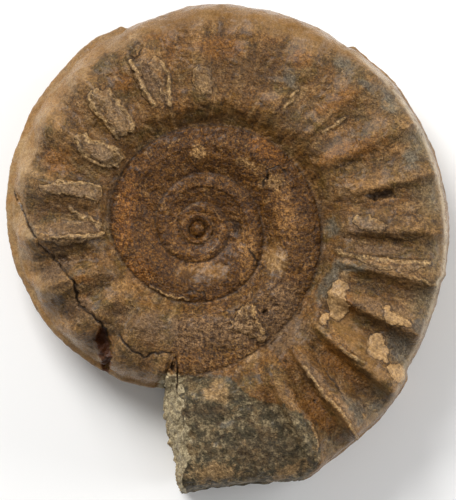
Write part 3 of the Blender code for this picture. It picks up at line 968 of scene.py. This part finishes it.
def fossil_finish():
    """Mottled brown stone and shell, with its changes of colour laid where the fossil has them, and with
    painted shade, painted highlights and a painted reflection.
    """
    f = Finish("fossil stone and shell")
    fine = f.noise(0.32, 2.0, 0.6)
    grain = f.noise(0.60, 3.0, 0.65, 0.3)
    fleck = f.noise(1.2, 4.0, 0.65, 0.5)
    blotch = f.noise(3.2, 6.0, 0.62, 0.7)
    patch = f.noise(8.5, 5.0, 0.6, 1.3)
    rusty = f.mask("rusty")
    crest = f.mask("crest")

    def ragged_patch(name, frayed=1.4):
        """A patch from its mask, with an edge that the noise frays."""
        fraying = f.times(f.minus(f.plus(fleck, blotch), 1.0), frayed)
        return f.between(-0.1, 0.55, f.plus(f.mask(name), fraying))

    colour = f.mix(f.between(0.40, 0.60, blotch), OLIVE, BROWN)

    def lay(paint, share, strength):
        """Puts another colour over the surface's colour so far, where share is above 0."""
        nonlocal colour
        colour = f.mix(f.times(share, strength), colour, paint)

    lay(RUST, f.times(rusty, f.between(0.36, 0.60, patch)), 0.8)
    lay(ORANGE_TAN, f.between(0.54, 0.68, fleck), 0.5)
    cool = f.times(f.minus(1.0, rusty), f.between(0.42, 0.58, f.noise(2.4, 5.0, 0.6, 2.1)))
    lay(LILAC_GREY, cool, 0.6)
    lay(TAN, f.times(crest, f.between(0.38, 0.58, blotch)), 0.34)
    # Painted shade: the furrows between the ribs are darkened.
    lay(DARK_BROWN_AND_SHADE, f.mask("furrow"), 0.14)
    streak = f.streaks(1.3, 6.0)
    lay(DARK_BROWN_AND_SHADE, f.between(0.47, 0.34, streak), 0.55)
    lay(TAN, f.between(0.54, 0.68, streak), 0.40)
    inner_brown = f.plus(0.62, f.times(0.38, f.between(0.60, 0.46, blotch)))
    inner_brown = f.times(inner_brown, f.between(-0.2, 0.7, rusty))
    lay(UMBER, f.times(f.mask("inner"), inner_brown), 1.0)
    # Painted reflection: a silvery grey-green in the furrows near the right shoulder.
    lay(REFLECTION_GREY_GREEN, f.times(f.mask("painted_reflection"), f.between(0.30, 0.55, blotch)), 0.75)
    lay(RUST, ragged_patch("stain"), 0.70)
    lay(LILAC_GREY, ragged_patch("lilac"), 0.80)
    lay(SLATE, ragged_patch("slate"), 0.85)
    lay(ORANGE_TAN, ragged_patch("orange"), 0.50)

    fraying = f.times(f.minus(f.plus(blotch, patch), 1.0), 5.0)
    rim = f.between(-1.2, 1.2, f.plus(f.mask("rim"), fraying))
    rim_colour = f.mix(f.between(0.42, 0.58, blotch), ORANGE_TAN, TAN)
    # Painted light and shade: the rim is paler on the side facing the key light and browner elsewhere, partly
    # its own tone.
    rim_colour = f.mix(f.mask("rim_tone_and_light"), f.mix(0.75, rim_colour, BROWN), rim_colour)
    rim_colour = f.mix(f.times(f.between(0.50, 0.64, patch), 0.6), rim_colour, BROWN)
    lay(rim_colour, rim, 0.82)
    smooth = f.between(-0.3, 0.5, f.mask("smooth"))
    calm = f.larger(f.times(rim, 0.9), f.times(smooth, 0.6))

    flaking = f.mask("flaking")
    layer_edge = f.times(f.between(-0.10, 0.0, flaking), f.between(0.16, 0.04, flaking))
    lay(TAN, f.times(layer_edge, f.between(0.45, 0.62, fleck)), 0.5)
    # Painted shade: a dark band along the foot of each flaking layer's edge.
    shade_under_layer = f.times(f.between(-0.28, -0.10, flaking), f.between(-0.02, -0.12, flaking))
    lay(DARK_BROWN_AND_SHADE, f.times(shade_under_layer, f.between(0.40, 0.60, fleck)), 0.5)
    shell = f.plus(f.mask("shell"), f.times(f.minus(grain, 0.5), 0.35))
    on_shell = f.between(-0.04, 0.10, shell)
    lay(SHELL_GREY, f.times(on_shell, f.between(0.35, 0.60, fleck)), 0.60)
    inside_edge = f.between(0.50, 0.08, f.plus(shell, f.times(f.between(0.35, 0.70, blotch), 0.3)))
    lay(PALE_TAN, f.times(on_shell, inside_edge), 0.75)
    # Painted shade: a dark band round the foot of each shell plate.
    shade_below_shell = f.times(f.between(-0.50, -0.05, shell), f.between(0.0, -0.08, shell))
    lay(DARK_BROWN_AND_SHADE, shade_below_shell, 0.65)
    ridge = f.mask("ridge")
    # Painted shade: a dark band on both sides of each standing edge.
    shade_beside_ridge = f.times(f.between(3.0, 1.8, ridge), f.between(1.2, 1.7, ridge))
    lay(DARK_BROWN_AND_SHADE, shade_beside_ridge, 0.45)
    ridge_top = f.times(f.between(1.3, 0.6, ridge), f.between(0.30, 0.55, fleck))
    lay(PALE_TAN, ridge_top, 0.70)
    chip = f.plus(f.mask("chip"), f.times(f.minus(grain, 0.5), 0.3))
    on_chip = f.between(-0.04, 0.12, chip)
    lay(CREAM_TAN, f.times(on_chip, f.between(0.25, 0.50, blotch)), 0.85)
    # Painted shade: a dark band round the foot of each pale chip.
    shade_below_chip = f.times(f.between(-0.40, -0.05, chip), f.between(0.0, -0.08, chip))
    lay(DARK_BROWN_AND_SHADE, shade_below_chip, 0.65)
    calm = f.larger(calm, f.times(on_chip, 0.4))

    mud = f.between(-0.2, 0.25, f.plus(f.mask("mud"), f.minus(fleck, 0.5)))
    mud_colour = f.mix(f.between(0.43, 0.66, blotch), MUD_DARK, MUD_BROWN)
    mud_colour = f.mix(f.times(f.between(0.46, 0.66, fleck), 0.8), mud_colour, MUD_PALE)
    # Painted light: the broken face at the mouth is painted paler, against the shade that the shell casts on
    # it.
    mud_colour = f.mix(f.between(-0.2, 0.4, f.mask("broken")), mud_colour, PAINTED_LIT_BROKEN_MUD)
    colour = f.mix(mud, colour, mud_colour)
    # Pale marks, partly painted highlights.
    lay(TAN, ragged_patch("pale", 1.8), 0.60)
    # Dark marks, partly painted shade in furrows and on the walls of the turns.
    lay(DARK_BROWN_AND_SHADE, ragged_patch("dark", 1.8), 0.38)

    # Painted shade: the pits, the hollows and the undercut edge of the eaten patch are darkened.
    pit = f.between(-0.05, 0.15, f.plus(f.mask("pit"), f.times(f.minus(grain, 0.5), 0.4)))
    lay(DARK_BROWN_AND_SHADE, pit, 0.80)

    scale_marks = f.noise(1.8, 5.0, 0.68, 4.1)
    marked = f.minus(1.0, f.times(calm, 0.7))
    lay(DARK_BROWN_AND_SHADE, f.times(marked, f.between(0.46, 0.34, scale_marks)), 0.55)
    lay(TAN, f.times(marked, f.between(0.56, 0.68, scale_marks)), 0.30)

    grain_share = f.times(f.plus(0.60, f.times(f.mask("inner"), 0.35)), f.minus(1.0, f.times(calm, 0.70)))
    fine_grain = f.mix(f.between(0.32, 0.68, fine), DARK_GRAIN, PALE_GRAIN)
    colour = f.mix(grain_share, colour, fine_grain, "MULTIPLY")
    coarse_grain = f.mix(f.between(0.36, 0.64, grain), DARK_GRAIN, PALE_GRAIN)
    colour = f.mix(grain_share, colour, coarse_grain, "MULTIPLY")

    seam_line = f.times(f.between(0.34, 0.02, f.mask("seam")), f.between(0.30, 0.55, fleck))
    lay(DARK_BROWN_AND_SHADE, seam_line, 0.7)
    ring_line = f.times(f.between(0.16, 0.04, f.mask("rings")), f.between(0.35, 0.5, fleck))
    lay(ORANGE_TAN, ring_line, 0.5)
    # Painted highlight: a cream line along the shoulder of the right flank.
    lay(SHOULDER_HIGHLIGHT_CREAM, f.times(f.mask("shoulder"), f.between(0.32, 0.46, fleck)), 0.70)
    lay(DARK_BROWN_AND_SHADE, f.between(0.20, 0.0, f.mask("crack")), 1.0)
    lay(CLAY_RED, f.between(-0.25, 0.3, f.mask("gouge")), 0.85)
    f.feed(f.shader.inputs["Base Color"], colour)

    roughness = f.plus(SMOOTHEST, f.times(fine, 0.20))
    roughness = f.minus(roughness, f.times(calm, 0.12))
    roughness = f.plus(roughness, f.times(mud, 0.25))
    f.feed(f.shader.inputs["Roughness"], roughness)
    f.shader.inputs["Specular IOR Level"].default_value = GLOSS
    f.shader.inputs["Coat Weight"].default_value = COAT
    f.shader.inputs["Coat Roughness"].default_value = COAT_ROUGHNESS

    bump = f.tree.nodes.new("ShaderNodeBump")
    height = f.plus(f.times(fine, 0.5), f.times(grain, 0.9))
    height = f.plus(height, f.times(fleck, 0.7))
    still = f.minus(1.0, f.times(calm, 0.75))
    f.feed(bump.inputs["Height"], f.times(height, still))
    bump.inputs["Distance"].default_value = BUMP_HEIGHT * MM
    bump.inputs["Strength"].default_value = 1.0
    f.feed(f.shader.inputs["Normal"], bump.outputs["Normal"])
    return f.material


fossil = bpy.data.objects.new("fossil", fossil_mesh())
fossil.data.materials.clear()
fossil.data.materials.append(fossil_finish())
bpy.context.scene.collection.objects.link(fossil)
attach(fossil, "root")
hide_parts("ammonite")

# The stage: a plain pale table top and soft studio light. The key light is a broad soft box from the upper
# left, and a long strip at the right draws the pale line along the shoulder of the last turn, where a painted
# highlight also lies.
FLOOR_COLOUR = (0.93, 0.93, 0.93, 1)
FLOOR_SIDE = 6.0
KEY_PLACE = (-0.30, 0.48, 0.50)
KEY_SIDES = (0.40, 0.40)
KEY_POWER = 6.8
KEY_COLOUR = (1.0, 0.99, 0.97)
STRIP_PLACE = (0.52, 0.08, 0.22)
STRIP_SIDES = (0.60, 0.16)
STRIP_POWER = 2.6
WHITE = (1.0, 1.0, 1.0)
STUDIO_LIGHT = 0.32

floor_bm = bmesh.new()
bmesh.ops.create_grid(floor_bm, x_segments=1, y_segments=1, size=FLOOR_SIDE / 2)
floor_mesh = bpy.data.meshes.new("table top")
floor_bm.to_mesh(floor_mesh)
floor_bm.free()
floor = bpy.data.objects.new("table_top", floor_mesh)
bpy.context.scene.collection.objects.link(floor)
floor_finish = Finish("pale table top")
floor_finish.shader.inputs["Base Color"].default_value = FLOOR_COLOUR
floor_finish.shader.inputs["Roughness"].default_value = 0.8
floor.data.materials.append(floor_finish.material)


def soft_box(name, place, sides, power, colour):
    """A rectangular light that faces the fossil. Its place and sides are metres."""
    lamp = bpy.data.lights.new(name, "AREA")
    lamp.shape = "RECTANGLE"
    lamp.size, lamp.size_y = sides
    lamp.energy = power
    lamp.color = colour
    box = bpy.data.objects.new(name, lamp)
    box.location = place
    box.rotation_euler = (-Vector(place)).to_track_quat("-Z", "Y").to_euler()
    bpy.context.scene.collection.objects.link(box)


soft_box("key", KEY_PLACE, KEY_SIDES, KEY_POWER, KEY_COLOUR)
soft_box("strip", STRIP_PLACE, STRIP_SIDES, STRIP_POWER, WHITE)

world = bpy.data.worlds.new("studio")
world.use_nodes = True
world.node_tree.nodes["Background"].inputs["Color"].default_value = WHITE + (1.0,)
world.node_tree.nodes["Background"].inputs["Strength"].default_value = STUDIO_LIGHT
bpy.context.scene.world = world
bpy.context.scene.view_settings.view_transform = "Standard"
